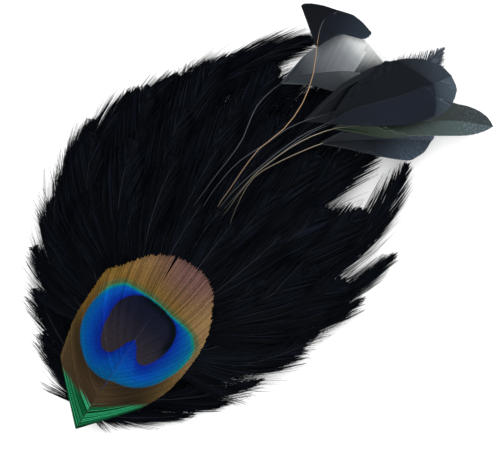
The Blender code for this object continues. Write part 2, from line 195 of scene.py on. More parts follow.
def combBarbs(add, given):
    # the barbs run out and up over the sheet, towards their locks, and are thinner towards their tips
    strand = add("GeometryNodeCurvePrimitiveLine")
    strand = add("GeometryNodeResampleCurve", {"Curve": strand, "Count": given["Barb Steps"]})
    strands = add("GeometryNodeInstanceOnPoints", {"Points": barbPoints(add, given), "Instance": strand})
    strands = add("GeometryNodeRealizeInstances", {"Geometry": strands})
    kept = {}
    for name in ("side", "place", "lockPlace", "reach", "rise", "sway", "slit"):
        kept[name] = add("GeometryNodeInputNamedAttribute", {"Name": name})
    along = add("GeometryNodeSplineParameter")
    bent = add("ShaderNodeMath", {0: along, 1: 2.0}, "POWER")
    outward = add("ShaderNodeMath", {0: along, 1: kept["reach"]}, "MULTIPLY")
    outward = add("ShaderNodeMath", {0: outward, 1: kept["side"]}, "MULTIPLY")
    across = add("ShaderNodeMapRange", {0: outward, 1: -1.0, 2: 1.0, 3: 0.001, 4: 0.999})
    pull = add("ShaderNodeMath", {0: bent, 1: given["Lock Pull"]}, "MULTIPLY")
    up = add("ShaderNodeMix", {0: pull, 2: kept["place"], 3: kept["lockPlace"]})
    up = add("ShaderNodeMath", {0: kept["slit"], 1: bent, 2: up}, "MULTIPLY_ADD")
    up = add("ShaderNodeClamp", {"Value": up, "Min": 0.001, "Max": 0.999})
    stray = []
    for name, most in (("sway", "Stray"), ("rise", "Lift")):
        amount = add("ShaderNodeMath", {0: kept[name], 1: given[most]}, "MULTIPLY")
        stray.append(add("ShaderNodeMath", {0: amount, 1: bent}, "MULTIPLY"))
    stray = add("ShaderNodeCombineXYZ", {0: stray[0], 1: stray[0], 2: stray[1]})
    onBarb = layOnSheet(add, given["Sheet"], across, up)
    onBarb = add("ShaderNodeVectorMath", {0: onBarb, 1: stray}, "ADD")
    onBarb = add("ShaderNodeVectorMath", {0: onBarb, 1: (-1, -1, lowestBarb)}, "MAXIMUM")
    strands = add("GeometryNodeSetPosition", {"Geometry": strands, "Position": onBarb})
    strands = add("GeometryNodeSetCurveNormal", {"Curve": strands}, mode="Z_UP")
    thin = add("ShaderNodeMath", {0: along, 1: given["Taper Power"]}, "POWER")
    thin = add("ShaderNodeMath", {0: thin, 1: given["Tip Taper"]}, "MULTIPLY")
    thick = add("ShaderNodeMath", {0: 1.0, 1: thin}, "SUBTRACT")
    radius = add("ShaderNodeMath", {0: given["Barb Width"], 1: 3 ** -0.5}, "MULTIPLY")
    radius = add("ShaderNodeMath", {0: thick, 1: radius}, "MULTIPLY")
    ridge = add("GeometryNodeCurvePrimitiveCircle", {"Resolution": 3})
    flat = add("ShaderNodeCombineXYZ", {0: given["Barb Flat"], 1: 1.0, 2: 1.0})
    ridge = add("GeometryNodeTransform", {"Geometry": ridge, "Scale": flat, "Rotation": (0, 0, math.pi / 2)})
    return add("GeometryNodeCurveToMesh", {"Curve": strands, "Profile Curve": ridge, "Scale": radius,
                                           "Fill Caps": True})


def layQuill(add, given):
    # the quill is a tapered rod up the middle of the sheet
    along = add("GeometryNodeSplineParameter")
    height = add("ShaderNodeMapRange", {0: along, 4: given["Quill To"]})
    onQuill = layOnSheet(add, given["Sheet"], 0.5, height)
    quill = add("GeometryNodeCurvePrimitiveLine")
    quill = add("GeometryNodeResampleCurve", {"Curve": quill, "Count": 32})
    quill = add("GeometryNodeSetPosition", {"Geometry": quill, "Position": onQuill})
    taper = add("ShaderNodeMapRange", {0: along, 3: 1.0, 4: given["Quill Thinnest"]})
    radius = add("ShaderNodeMath", {0: given["Quill Width"], 1: 0.5}, "MULTIPLY")
    radius = add("ShaderNodeMath", {0: taper, 1: radius}, "MULTIPLY")
    rod = add("GeometryNodeCurvePrimitiveCircle", {"Resolution": 6})
    rod = add("GeometryNodeCurveToMesh", {"Curve": quill, "Profile Curve": rod, "Scale": radius,
                                          "Fill Caps": True})
    return add("GeometryNodeStoreNamedAttribute", {"Geometry": rod, "Name": "quill", "Value": 1.0})


def buildPlumeTree():
    # a feather's sheet, whose UV map runs across the vane and along the shaft, becomes its barbs and quill
    tree = bpy.data.node_groups.new("plume", "GeometryNodeTree")
    tree.interface.new_socket("Sheet", in_out="INPUT", socket_type="NodeSocketGeometry")
    for name, default in plumeInputs:
        kind = {int: "NodeSocketInt", float: "NodeSocketFloat"}.get(type(default), "NodeSocketMaterial")
        socket = tree.interface.new_socket(name, in_out="INPUT", socket_type=kind)
        if default is not None:
            socket.default_value = default
    tree.interface.new_socket("Plume", in_out="OUTPUT", socket_type="NodeSocketGeometry")
    given = tree.nodes.new("NodeGroupInput").outputs
    add = partial(addNode, tree)
    both = add("GeometryNodeJoinGeometry", {0: combBarbs(add, given)})
    tree.links.new(layQuill(add, given), both.node.inputs[0])
    whole = add("GeometryNodeRealizeInstances", {"Geometry": both})
    whole = add("GeometryNodeSetMaterial", {"Geometry": whole, "Material": given["Barb Finish"]})
    isQuill = add("GeometryNodeInputNamedAttribute", {"Name": "quill"})
    whole = add("GeometryNodeSetMaterial", {"Geometry": whole, "Selection": isQuill,
                                            "Material": given["Quill Finish"]})
    add("NodeGroupOutput", {0: whole})
    return tree


plumeTree = buildPlumeTree()


def newObject(name, data):
    made = bpy.data.objects.new(name, data)
    bpy.context.scene.collection.objects.link(made)
    return made


def ease(value):
    value = np.clip(value, 0, 1)
    return value * value * (3 - 2 * value)


def alongLine(points, shares):
    # places at these shares of the length of a line with straight stretches
    points = np.array(points, float)
    run = np.append(0, np.cumsum(np.hypot(*np.diff(points, axis=0).T)))
    return np.column_stack([np.interp(np.asarray(shares) * run[-1], run, points[:, k]) for k in (0, 1)])


def smoothLine(points, shares):
    # the same on a smooth curve through the points
    points = np.array(points, float)
    points = np.vstack([2 * points[0] - points[1], points, 2 * points[-1] - points[-2]])
    t = np.linspace(0, 1, 12, endpoint=False)[:, None]
    dense = [
        (2 * b + (c - a) * t + (2 * a - 5 * b + 4 * c - d) * t ** 2 + (3 * b - 3 * c + d - a) * t ** 3) / 2
        for a, b, c, d in zip(points, points[1:], points[2:], points[3:])
    ]
    return alongLine(np.vstack([*dense, points[-2:-1]]), shares)


def rightOf(line):
    # unit directions to the right of a line of places
    forward = np.gradient(line, axis=0)
    forward /= np.hypot(*forward.T)[:, None]
    return np.column_stack([forward[:, 1], -forward[:, 0]])


def acrossFrom(left, middle, right, columns):
    # rows of places from each left point through its middle one to its right one
    u = np.linspace(-1, 1, columns + 1)[None, :, None]
    edge = np.where(u < 0, left[:, None], right[:, None])
    return middle[:, None] + (edge - middle[:, None]) * np.abs(u)


def makeSheet(name, plan):
    # a grid through the plan's places, on top of the CAD node of that name, with its UV map
    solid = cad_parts[name].data
    corners = [corner.co.copy() for corner in solid.vertices]
    surface = BVHTree.FromPolygons(corners, [tuple(face.vertices) for face in solid.polygons])
    low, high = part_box(name)
    rows, columns = plan.shape[0] - 1, plan.shape[1] - 1
    places = (plan - pad["origin"]) * mm
    heights = np.empty(places.shape[:2])
    for at in np.ndindex(heights.shape):
        hit = surface.ray_cast(Vector((*places[at], high.z + mm)), Vector((0, 0, -1)))[0]
        heights[at] = (hit or surface.find_nearest(Vector((*places[at], (low.z + high.z) / 2)))[0]).z
    for _ in range(2):      # the solid's facets are smoothed out
        heights[1:-1] = (heights[:-2] + 2 * heights[1:-1] + heights[2:]) / 4
        heights[:, 1:-1] = (heights[:, :-2] + 2 * heights[:, 1:-1] + heights[:, 2:]) / 4
    sheet = bmesh.new()
    bmesh.ops.create_grid(sheet, x_segments=columns, y_segments=rows, size=1)
    uv = sheet.loops.layers.uv.new("sheetMap")
    for face in sheet.faces:
        for loop in face.loops:
            loop[uv].uv = ((loop.vert.co.x + 1) / 2, (loop.vert.co.y + 1) / 2)
    for corner in sheet.verts:
        at = round((corner.co.y + 1) / 2 * rows), round((corner.co.x + 1) / 2 * columns)
        corner.co = (*places[at], heights[at])
    mesh = bpy.data.meshes.new(name + "_sheet")
    sheet.to_mesh(mesh)
    sheet.free()
    return mesh


def makePlume(name, plan, sizes, ending="_plume"):
    # runs the barb tree on a feather's sheet and puts the result in place of its CAD node
    piece = newObject(name + ending, makeSheet(name, plan))
    comb = piece.modifiers.new("barbs", "NODES")
    comb.node_group = plumeTree
    for item in plumeTree.interface.items_tree:
        if item.in_out == "INPUT" and item.name in sizes:
            comb[item.identifier] = sizes[item.name]
    bpy.context.view_layer.update()
    graph = bpy.context.evaluated_depsgraph_get()
    made = bpy.data.meshes.new_from_object(piece.evaluated_get(graph))
    piece.modifiers.remove(comb)
    piece.data = made
    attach(piece, "root")
    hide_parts(name)


def newFinish(name, colour, rough, shine=0.5):
    # a Principled material of one colour, and what adds a node to it
    material = bpy.data.materials.new(name)
    material.use_nodes = True
    shader = material.node_tree.nodes["Principled BSDF"]
    shader.inputs["Base Color"].default_value = linearColour(colour)
    shader.inputs["Roughness"].default_value = rough
    shader.inputs["Specular IOR Level"].default_value = shine
    return material, partial(addNode, material.node_tree)


def paint(material, value, socket="Base Color"):
    # leads a node's output into a finish's shader
    tree = material.node_tree
    tree.links.new(value, tree.nodes["Principled BSDF"].inputs[socket])
    return material


def padPlace(add):
    # places on the pad in millimetres from the pointed end of the eye, without their height
    place = add("ShaderNodeTexCoord", out="Object")
    return add("ShaderNodeMapping", {"Vector": place, "Location": (*pad["origin"], 0),
                                     "Scale": (1 / mm, 1 / mm, 0)})


def barbFinish(name, dark, pale, patch, shine):
    # keratin barbs: each is a little darker or paler than its neighbours, in broad soft patches
    material, add = newFinish(name, dark, rough=0.45, shine=shine)
    shade = add("ShaderNodeAttribute", out="Fac", attribute_name="shade")
    shade = add("ShaderNodeMath", {0: shade, 1: 3.0}, "POWER")
    place = add("ShaderNodeTexCoord", out="Object")
    noise = add("ShaderNodeTexNoise", {"Vector": place, "Scale": 1 / (patch * mm), "Detail": 3.0}, out="Fac")
    amount = add("ShaderNodeMath", {0: shade, 1: noise}, "MULTIPLY")
    colour = add("ShaderNodeMix", {0: amount, 6: dark, 7: pale}, **mixColours)
    return paint(material, colour)


# dyed cock hackle: black dye over keratin, nearly black; the paler barbs are partly their own tone, partly a
# painted cool sheen
blackHackle = barbFinish("dyed cock hackle", "#020408", "#151d2a", patch=9, shine=0.05)
paleHackle = barbFinish("sparse hackle", "#424a54", "#8b97a4", patch=9, shine=0.1)
hackleQuill = barbFinish("hackle quill", "#1a1e24", "#4c525a", patch=4, shine=0.1)


def quillFinish(name, heights, stops):
    # horn of a bare quill, its colour changing between two heights on the pad
    material, add = newFinish(name, stops[0][1], rough=0.45, shine=0.15)
    y = add("ShaderNodeSeparateXYZ", {0: padPlace(add)}, out=1)
    height = add("ShaderNodeMapRange", {0: y, 1: heights[0], 2: heights[1]})
    return paint(material, add("ShaderNodeValToRGB", {"Fac": height}, stops=stops))


# the spray's quills: near black at their low ends, painted shade where they come out of the dark pad,
# and dark shafts at the other ends, in their vanes
sprayHeights = (60, 150)
darkQuill = quillFinish("dark quill", sprayHeights, (
    (0.0, "#0b0c0e"), (0.2, "#1c1e21"), (0.45, "#3c4046"), (0.57, "#34373b"), (0.62, "#101216"),
    (1.0, "#15181c")))
tanQuill = quillFinish("tan quill", sprayHeights, (
    (0.0, "#0e0c0a"), (0.2, "#2c2822"), (0.4, "#6a6152"), (0.55, "#857a68"), (0.62, "#4a4a44"),
    (1.0, "#3c403c")))
orangeQuill = quillFinish("orange quill", sprayHeights, (
    (0.0, "#100c0a"), (0.15, "#3a3028"), (0.4, "#806852"), (0.6, "#a0805f"), (0.79, "#a5825f"),
    (0.83, "#5a5c60"), (1.0, "#6a6e72")))


def feltFinish():
    # pressed wool felt: matt, with a short tangled nap
    material, add = newFinish("pressed wool felt", "#0b0b0c", rough=0.95)
    place = add("ShaderNodeTexCoord", out="Object")
    nap = add("ShaderNodeTexNoise", {"Vector": place, "Scale": 1 / (0.6 * mm), "Detail": 6.0,
                                     "Roughness": 0.7}, out="Fac")
    colour = add("ShaderNodeMix", {0: nap, 6: "#060607", 7: "#18181b"}, **mixColours)
    bump = add("ShaderNodeBump", {"Height": nap, "Distance": 0.2 * mm, "Strength": 0.6})
    paint(material, bump, "Normal")
    return paint(material, colour)


def vaneFinish(name, start, end, leftStops, rightStops, rough, shine, glintsFrom=2.0):
    # Trimmed vane: its colour runs from start to end, with stops for either side of the shaft, each barb
    # is a little darker or paler, and past a share of that run fine specks of painted glint brighten it.
    material, add = newFinish(name, leftStops[0][1], rough, shine)
    place = padPlace(add)
    run = np.subtract(end, start)
    run = run / (run @ run)
    share = add("ShaderNodeVectorMath", {0: place, 1: (*start, 0)}, "SUBTRACT")
    share = add("ShaderNodeVectorMath", {0: share, 1: (*run, 0)}, "DOT_PRODUCT", out="Value")
    left = add("ShaderNodeValToRGB", {"Fac": share}, stops=leftStops)
    right = add("ShaderNodeValToRGB", {"Fac": share}, stops=rightStops)
    side = add("ShaderNodeAttribute", out="Fac", attribute_name="side")
    side = add("ShaderNodeMath", {0: side, 1: 0.0}, "GREATER_THAN")
    colour = add("ShaderNodeMix", {0: side, 6: left, 7: right}, **mixColours)
    shade = add("ShaderNodeAttribute", out="Fac", attribute_name="shade")
    light = add("ShaderNodeMapRange", {0: shade, 3: 0.9, 4: 1.1})
    # painted glint: bright noise specks added to each barb's light past the share glintsFrom
    glintSpeck = add("ShaderNodeTexNoise", {"Vector": place, "Scale": 1.5, "Detail": 2.0}, out="Fac")
    glintSpeck = add("ShaderNodeMapRange", {0: glintSpeck, 1: 0.48, 2: 0.7, 4: 0.9})
    past = add("ShaderNodeMapRange", {0: share, 1: glintsFrom, 2: glintsFrom + 0.15})
    light = add("ShaderNodeMath", {0: glintSpeck, 1: past, 2: light}, "MULTIPLY_ADD")
    colour = add("ShaderNodeVectorMath", {0: colour, "Scale": light}, "SCALE")
    return paint(material, colour)


peacockEye = {
    "shaft": ((0, 0), (-0.4, 17), (-0.6, 34)),
    "left": ((-15.2, 14.3), (-16.1, 15.4), (-17.7, 21.6), (-18.9, 27.5), (-19.2, 32.7), (-19.2, 38.6),
             (-18.9, 44), (-15.7, 47.8), (-13.1, 51.7), (-9.7, 55.3), (-4.9, 58), (-0.7, 58.8)),
    "right": ((12.6, 16.6), (14.7, 21.7), (16.1, 26.7), (16.6, 32.5), (16.7, 38.9), (15.9, 44.2),
              (14.3, 48.5), (12.1, 52.4), (10, 55.4), (7.4, 57.6), (3.8, 58.5), (-0.7, 58.8)),
    "bow": 0.1,              # how far a barb bows outwards, as a share of its length
    "rows": 48,
    "columns": 20,
    # the blue disc: its centre, and how far its edge is at each angle clockwise from straight up
    "discCentre": (-1, 29),
    "disc": (
        (-175, 12.5), (-154, 13.4), (-131, 13.9), (-109, 14.9), (-91, 15.7), (-71, 16.7), (-53, 18.0),
        (-39, 18.1), (-27, 16.4), (-18, 15.6), (-6, 14.9), (8, 14.5), (21, 14.9), (32, 16.2), (46, 18.3),
        (58, 18.7), (66, 17.9), (75, 16.7), (85, 15.6), (96, 14.4), (124, 12.9), (151, 12.0), (170, 11.5),
    ),
    # the dark heart in it, whose outline is seen all round from its centre
    "heartCentre": (-1, 35),
    "heart": (
        (-0.7, 31.2), (-2, 29.4), (-2.9, 26.9), (-3.8, 24.9), (-4.5, 24), (-5.9, 23.5), (-7.3, 23.8),
        (-8.6, 25.2), (-9.9, 27.9), (-10.6, 30.1), (-10.8, 32.3), (-11.1, 34.7), (-10.9, 37.6), (-9.5, 40.2),
        (-7.4, 42.2), (-5.3, 43.1), (-2.2, 43.2), (0.2, 43.1), (2.9, 42.5), (5, 42), (6.5, 41.2), (7.8, 39.9),
        (8.7, 37.7), (9, 35.7), (8.8, 33.3), (8.1, 30.6), (7, 28.2), (5.9, 26.6), (4.5, 26), (3.3, 26.3),
        (2.3, 27.4), (1, 29.7),
    ),
}


def insideOutline(add, place, centre, outline):
    # how far inside a closed outline round its centre a place is, in millimetres, and its angle as a share
    # of a turn, clockwise from straight down
    most = max(radius for _, radius in outline)
    turned = sorted(((angle / 360 + 0.5) % 1, radius / most) for angle, radius in outline)
    gap = turned[0][0] + 1 - turned[-1][0]
    seam = turned[-1][1] + (turned[0][1] - turned[-1][1]) * (1 - turned[-1][0]) / gap
    points = [(0.0, seam), *turned, (1.0, seam)]
    offset = add("ShaderNodeVectorMath", {0: place, 1: (*centre, 0)}, "SUBTRACT")
    radius = add("ShaderNodeVectorMath", {0: offset}, "LENGTH", out="Value")
    parts = add("ShaderNodeSeparateXYZ", {0: offset}).node.outputs
    angle = add("ShaderNodeMath", {0: parts[0], 1: parts[1]}, "ARCTAN2")
    turn = add("ShaderNodeMath", {0: angle, 1: 0.5 / math.pi, 2: 0.5}, "MULTIPLY_ADD")
    edge = add("ShaderNodeFloatCurve", {"Value": turn}, points=points)
    edge = add("ShaderNodeMath", {0: edge, 1: most}, "MULTIPLY")
    return add("ShaderNodeMath", {0: edge, 1: radius}, "SUBTRACT"), turn


def eyeVane(add, place, shade, inDisc, upper):
    # the vane round the disc: olive-brown at the pointed end, bronze and gold above, paler at the right,
    # darker at the lower right and mauve at the top
    x, y = add("ShaderNodeSeparateXYZ", {0: place}).node.outputs[:2]
    broad = add("ShaderNodeTexNoise", {"Vector": place, "Scale": 0.12, "Detail": 1.0}, out="Fac")
    height = add("ShaderNodeMapRange", {0: y, 2: 60.0})
    height = add("ShaderNodeMath", {0: broad, 1: 0.12, 2: height}, "MULTIPLY_ADD")
    vane = add("ShaderNodeValToRGB", {"Fac": height}, stops=(
        (0.1, "#40342a"), (0.3, "#4c3c28"), (0.45, "#564626"), (0.6, "#664a1e"), (0.8, "#705628"),
        (1.0, "#70563c")))
    right = add("ShaderNodeMapRange", {0: x, 1: 4.0, 2: 13.0}, interpolation_type="SMOOTHSTEP")
    aboveTurn = add("ShaderNodeMapRange", {0: y, 1: 20.0, 2: 38.0})
    right = add("ShaderNodeMath", {0: right, 1: aboveTurn}, "MULTIPLY")
    lowRight = add("ShaderNodeVectorMath", {0: place, 1: (9.5, 15.0, 0)}, "DISTANCE", out="Value")
    lowRight = add("ShaderNodeMapRange", {0: lowRight, 1: 9.0, 2: 2.0, 4: 0.7})
    top = add("ShaderNodeVectorMath", {0: place, 1: (3.5, 60.5, 0)}, "DISTANCE", out="Value")
    top = add("ShaderNodeMapRange", {0: top, 1: 17.5, 2: 5.0, 4: 0.85}, interpolation_type="SMOOTHSTEP")

    # the green of the pointed end, whose upper edge follows the barbs
    leftEdge = add("ShaderNodeMath", {0: x, 1: -0.3, 2: 7.8}, "MULTIPLY_ADD")
    rightEdge = add("ShaderNodeMath", {0: x, 1: 0.7, 2: 8.0}, "MULTIPLY_ADD")
    under = add("ShaderNodeMath", {0: leftEdge, 1: rightEdge}, "MAXIMUM")
    under = add("ShaderNodeMath", {0: under, 1: y}, "SUBTRACT")
    under = add("ShaderNodeMath", {0: shade, 1: 1.2, 2: under}, "MULTIPLY_ADD")
    pointed = add("ShaderNodeMapRange", {0: under, 2: 1.2})
    green = add("ShaderNodeValToRGB", {"Fac": shade}, stops=(
        (0.0, "#04120a"), (0.4, "#0a4024"), (0.7, "#107040"), (1.0, "#40c08a")))

    # a dark brown ring outside the lower edge of the disc, and a green-bronze one outside its upper rim
    lower = add("ShaderNodeMapRange", {0: y, 1: 32.0, 2: 24.0})
    ring = add("ShaderNodeMapRange", {0: inDisc, 1: -3.5, 2: -0.6, 4: 0.6})
    ring = add("ShaderNodeMath", {0: ring, 1: lower}, "MULTIPLY")
    zone = add("ShaderNodeMapRange", {0: inDisc, 1: -1.8, 2: -0.5, 4: 0.75})
    zone = add("ShaderNodeMath", {0: zone, 1: upper}, "MULTIPLY")
    for amount, over in ((right, "#8a6e48"), (lowRight, "#221c10"), (top, "#5e4242"), (pointed, green),
                         (ring, "#261e1a"), (zone, "#3a5c3c")):
        vane = add("ShaderNodeMix", {0: amount, 6: vane, 7: over}, **mixColours)
    return vane


def eyeDisc(add, inDisc, discTurn, inHeart, upper):
    # the blue disc: ultramarine by the heart, azure further out, teal to the right and a turquoise upper rim
    fromHeart = add("ShaderNodeMath", {0: inHeart, 1: -1.0}, "MULTIPLY")
    width = add("ShaderNodeMath", {0: fromHeart, 1: inDisc}, "ADD")
    outward = add("ShaderNodeMath", {0: fromHeart, 1: width}, "DIVIDE", use_clamp=True)
    blue = add("ShaderNodeValToRGB", {"Fac": outward}, stops=(
        (0.0, "#0a2292"), (0.3, "#06389e"), (0.6, "#0450ae"), (0.85, "#045ca2"), (1.0, "#085c84")))
    teal = add("ShaderNodeValToRGB", {"Fac": outward}, stops=(
        (0.0, "#082690"), (0.35, "#04449a"), (0.75, "#066096"), (1.0, "#0a8484")))
    tealHere = add("ShaderNodeValToRGB", {"Fac": discTurn}, stops=(
        (0.52, "#000000"), (0.62, "#ffffff"), (0.72, "#ffffff"), (0.82, "#000000")))
    rim = add("ShaderNodeMapRange", {0: inDisc, 1: 1.1, 2: 0.3})
    rim = add("ShaderNodeMath", {0: rim, 1: upper}, "MULTIPLY")
    disc = add("ShaderNodeMix", {0: tealHere, 6: blue, 7: teal}, **mixColours)
    return add("ShaderNodeMix", {0: rim, 6: disc, 7: "#10806c"}, **mixColours)


def eyeHeart(add, place, inHeart, heartTurn):
    # the heart: brown lobes, a navy middle, and a black band along its top and right edges
    toNavy = add("ShaderNodeVectorMath", {0: place, 1: (0.01, 0.1, 0)}, "DOT_PRODUCT", out="Value")
    toNavy = add("ShaderNodeMapRange", {0: toNavy, 1: 2.6, 2: 4.0})
    heart = add("ShaderNodeValToRGB", {"Fac": toNavy}, stops=(
        (0.0, "#352f36"), (0.45, "#282630"), (0.75, "#1a1b2b"), (1.0, "#14172a")))
    band = add("ShaderNodeMapRange", {0: inHeart, 1: 2.6, 2: 1.2})
    bandHere = add("ShaderNodeValToRGB", {"Fac": heartTurn}, stops=(
        (0.36, "#000000"), (0.46, "#ffffff"), (0.76, "#ffffff"), (0.84, "#000000")))
    band = add("ShaderNodeMath", {0: band, 1: bandHere}, "MULTIPLY")
    return add("ShaderNodeMix", {0: band, 6: heart, 7: "#070e16"}, **mixColours)


def eyeFinish():
    # Peacock barbules: their colours are layers of melanin rods in clear keratin, so each zone is one clean
    # hue with a silky shine, and the fine lines are the barbs between which the layers stop.
    material, add = newFinish("peacock barbules", "#0450a0", rough=0.42, shine=0.03)
    place = padPlace(add)
    y = add("ShaderNodeSeparateXYZ", {0: place}, out=1)
    upper = add("ShaderNodeMapRange", {0: y, 1: 34.0, 2: 40.0})
    shade = add("ShaderNodeAttribute", out="Fac", attribute_name="shade")
    offsets = np.subtract(peacockEye["heart"], peacockEye["heartCentre"])
    heart = [(math.degrees(math.atan2(*offset)), math.hypot(*offset)) for offset in offsets]
    inDisc, discTurn = insideOutline(add, place, peacockEye["discCentre"], peacockEye["disc"])
    inHeart, heartTurn = insideOutline(add, place, peacockEye["heartCentre"], heart)
    colour = eyeVane(add, place, shade, inDisc, upper)
    isDisc = add("ShaderNodeMapRange", {0: inDisc, 1: -0.15, 2: 0.25})
    isHeart = add("ShaderNodeMapRange", {0: inHeart, 1: -0.15, 2: 0.25})
    for amount, over in ((isDisc, eyeDisc(add, inDisc, discTurn, inHeart, upper)),
                         (isHeart, eyeHeart(add, place, inHeart, heartTurn))):
        colour = add("ShaderNodeMix", {0: amount, 6: colour, 7: over}, **mixColours)

    # each barb is darker or paler than its neighbours, more so in the vane, and has a fine grain
    contrast = add("ShaderNodeMapRange", {0: isDisc, 3: 0.85, 4: 0.5})
    light = add("ShaderNodeMath", {0: shade, 1: 0.47}, "SUBTRACT")
    light = add("ShaderNodeMath", {0: light, 1: contrast, 2: 1.0}, "MULTIPLY_ADD")
    grain = add("ShaderNodeTexNoise", {"Vector": place, "Scale": 1.6, "Detail": 2.0}, out="Fac")
    grain = add("ShaderNodeMapRange", {0: grain, 1: 0.3, 2: 0.7, 3: 0.85, 4: 1.15})
    light = add("ShaderNodeMath", {0: light, 1: grain}, "MULTIPLY")
    return paint(material, add("ShaderNodeVectorMath", {0: colour, "Scale": light}, "SCALE"))


# the eye's own shaft is hardly darker than the vane, and in the blue it is painted dark as the shade of a
# crease
eyeQuill = quillFinish("peacock shaft", (0, 40), (
    (0.0, "#0a3420"), (0.15, "#0c2c1c"), (0.24, "#2c261c"), (0.34, "#2a261e"), (0.4, "#06245c"),
    (0.7, "#051a5a"), (0.78, "#0c1040")))

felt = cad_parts["backing_felt"]
felt.data.materials.clear()
felt.data.materials.append(feltFinish())
print("felt finished")

# hackles: where each is rooted, where its tip lies, its turn to the right on the way there, and its width
hackle = {
    "rim": (
        ((-2, 6), (-24.3, 17.2), 20, 10.5),
        ((-5, 13), (-33.5, 26), 15, 15),
        ((-11, 20), (-41, 36), 10, 12.5),
        ((-13, 25), (-46, 61), 45, 12.8),
        ((-14, 30), (-47.5, 77), 64, 17),
        ((-14, 34), (-42, 91.5), 72, 18.5),
        ((-13, 39), (-34.5, 102), 74, 19),
        ((-12, 44), (-25, 115), 74, 17.5),
        ((-12, 48), (-6.8, 133.8), 78, 23.5),
        ((-7, 53), (-2.5, 122.5), 62, 24.5),
        ((-1, 55), (6, 128), 38, 23.5),
        ((3, 54), (15.3, 124.5), 25, 22.5),
        ((6, 52), (26, 118), 10, 21.5),
        ((11.6, 47.4), (34.7, 119), -60, 19),
        ((13, 40), (47.3, 95), -42, 12.5),
        ((11, 29), (46.9, 79), -30, 12.5),
        ((9, 22), (42, 63.5), -24, 9.5),
        ((3, 13), (36.5, 42.5), -30, 8),
        ((0, 12), (32, 31), -30, 8.5),
        ((0, 5), (25.5, 22.5), -20, 6.5),
    ),
    # number of hackles, share of the way from the fan's centre to its rim at which their tips lie, the
    # same for their roots on the backing, the angles at which the tips lie round the fan, width, turn at
    # the left and at the right end
    "second": (10, 0.9, 0.78, (-105, 98), 21.5, (50, -30)),
    "third": (9, 0.7, 0.60, (-98, 98), 20, (45, -25)),
    "fourth": (7, 0.46, 0.42, (-88, 88), 18, (40, -20)),
    "top": (5, 0.17, 0.30, (-80, 80), 16, (25, 0)),
    "rootTwist": (-45, 45),  # how far the roots lie round the backing past their tips, from left to right
    "rows": 30,
    "columns": 12,
    "lean": 6.0,             # a barb's run along the shaft for each millimetre out from it
    "rootLean": 0.3,         # the share of it that the lowest barbs have
    "leanFrom": 0.25,        # share of the shaft past which the barbs have all of it
    "mostLean": 0.9,         # but no more than this share of the way to the tip
    "curve": 1.1,            # 1 leaves the barbs straight, more turns them towards the tip as they go out
    "rootHalf": 0.6,         # half width at the root, as a share of the most
    "widestFrom": 0.3,
    "widestTo": 0.72,
    "taper": 0.6,            # the lower, the blunter the tip
    "tipHalf": 0.4,
    # The longest barbs' length as a share of the CAD solid's half width, and how much longer those near
    # the root are: the covered second and third rows are wide, so that no gap shows the floor, the two end
    # hackles of the second row and the loose ones at the lower edge are narrow towards their tips, and the
    # sparse down of the loose ones stands far past their vanes.
    "reach": {"even": (1.2, 0.0), "covered": (1.5, 0.0), "end": (1.0, 1.3), "loose": (0.76, 1.9),
              "down": (1.2, 0.2)},
    "looseBelow": (80, 97),  # rim hackles whose tips lie below this are loose, on the left and on the right
    "fewest": 110,           # barbs on a side of the shortest hackle, more for each millimetre, and the most
    "perLength": 3.5,
    "most": 260,
    "lock": 2.2,             # width of a lock of barbs
    "looseLock": 1.7,
}


def fanRow(count, tipShare, rootShare, spread, width, turns):
    angles, twists = (np.radians(np.linspace(*ends, count)) for ends in (spread, hackle["rootTwist"]))
    for angle, twist, turn in zip(angles, twists, np.linspace(*turns, count)):
        tip = pad["fanCentre"] + pad["fanHalf"] * tipShare * (math.sin(angle), math.cos(angle))
        aim = math.atan2(*(tip - pad["origin"])) + twist
        root = pad["origin"] + pad["backingHalf"] * rootShare * (math.sin(aim), math.cos(aim))
        yield root, tip, turn, width


def hacklePlan(root, tip, turn, width, kind):
    # the places of a hackle's sheet: its barbs leave the shaft sideways, then run along its curve
    root, tip = np.array(root, float), np.array(tip, float)
    chord = tip - root
    length = np.hypot(*chord)
    knee = (root + tip) / 2 + np.array([-chord[1], chord[0]]) / 2 * math.tan(math.radians(turn) / 2)
    s = np.linspace(0, 1, hackle["rows"] + 1)[:, None]
    u = np.linspace(-1, 1, hackle["columns"] + 1)[None, :]
    lean = hackle["lean"] * width / 2 / length
    lean = lean * (hackle["rootLean"] + (1 - hackle["rootLean"]) * ease(s / hackle["leanFrom"]))
    end = s + np.minimum(lean, (1 - s) * hackle["mostLean"])
    half = hackle["rootHalf"] + (1 - hackle["rootHalf"]) * ease(end / hackle["widestFrom"])
    half *= np.clip((1 - end) / (1 - hackle["widestTo"]), 0, 1) ** hackle["taper"]
    longest, rootMore = hackle["reach"][kind]
    half = np.maximum(width / 2 * half, hackle["tipHalf"]) * longest * (1 + rootMore * (1 - end) ** 2)
    along = (s + (end - s) * np.abs(u) ** hackle["curve"])[..., None]
    middle = (1 - along) ** 2 * root + 2 * along * (1 - along) * knee + along ** 2 * tip
    forward = (1 - along) * (knee - root) + along * (tip - knee)
    side = np.stack([forward[..., 1], -forward[..., 0]], axis=-1)
    side /= np.linalg.norm(forward, axis=-1, keepdims=True)
    return middle + side * (u * half)[..., None]


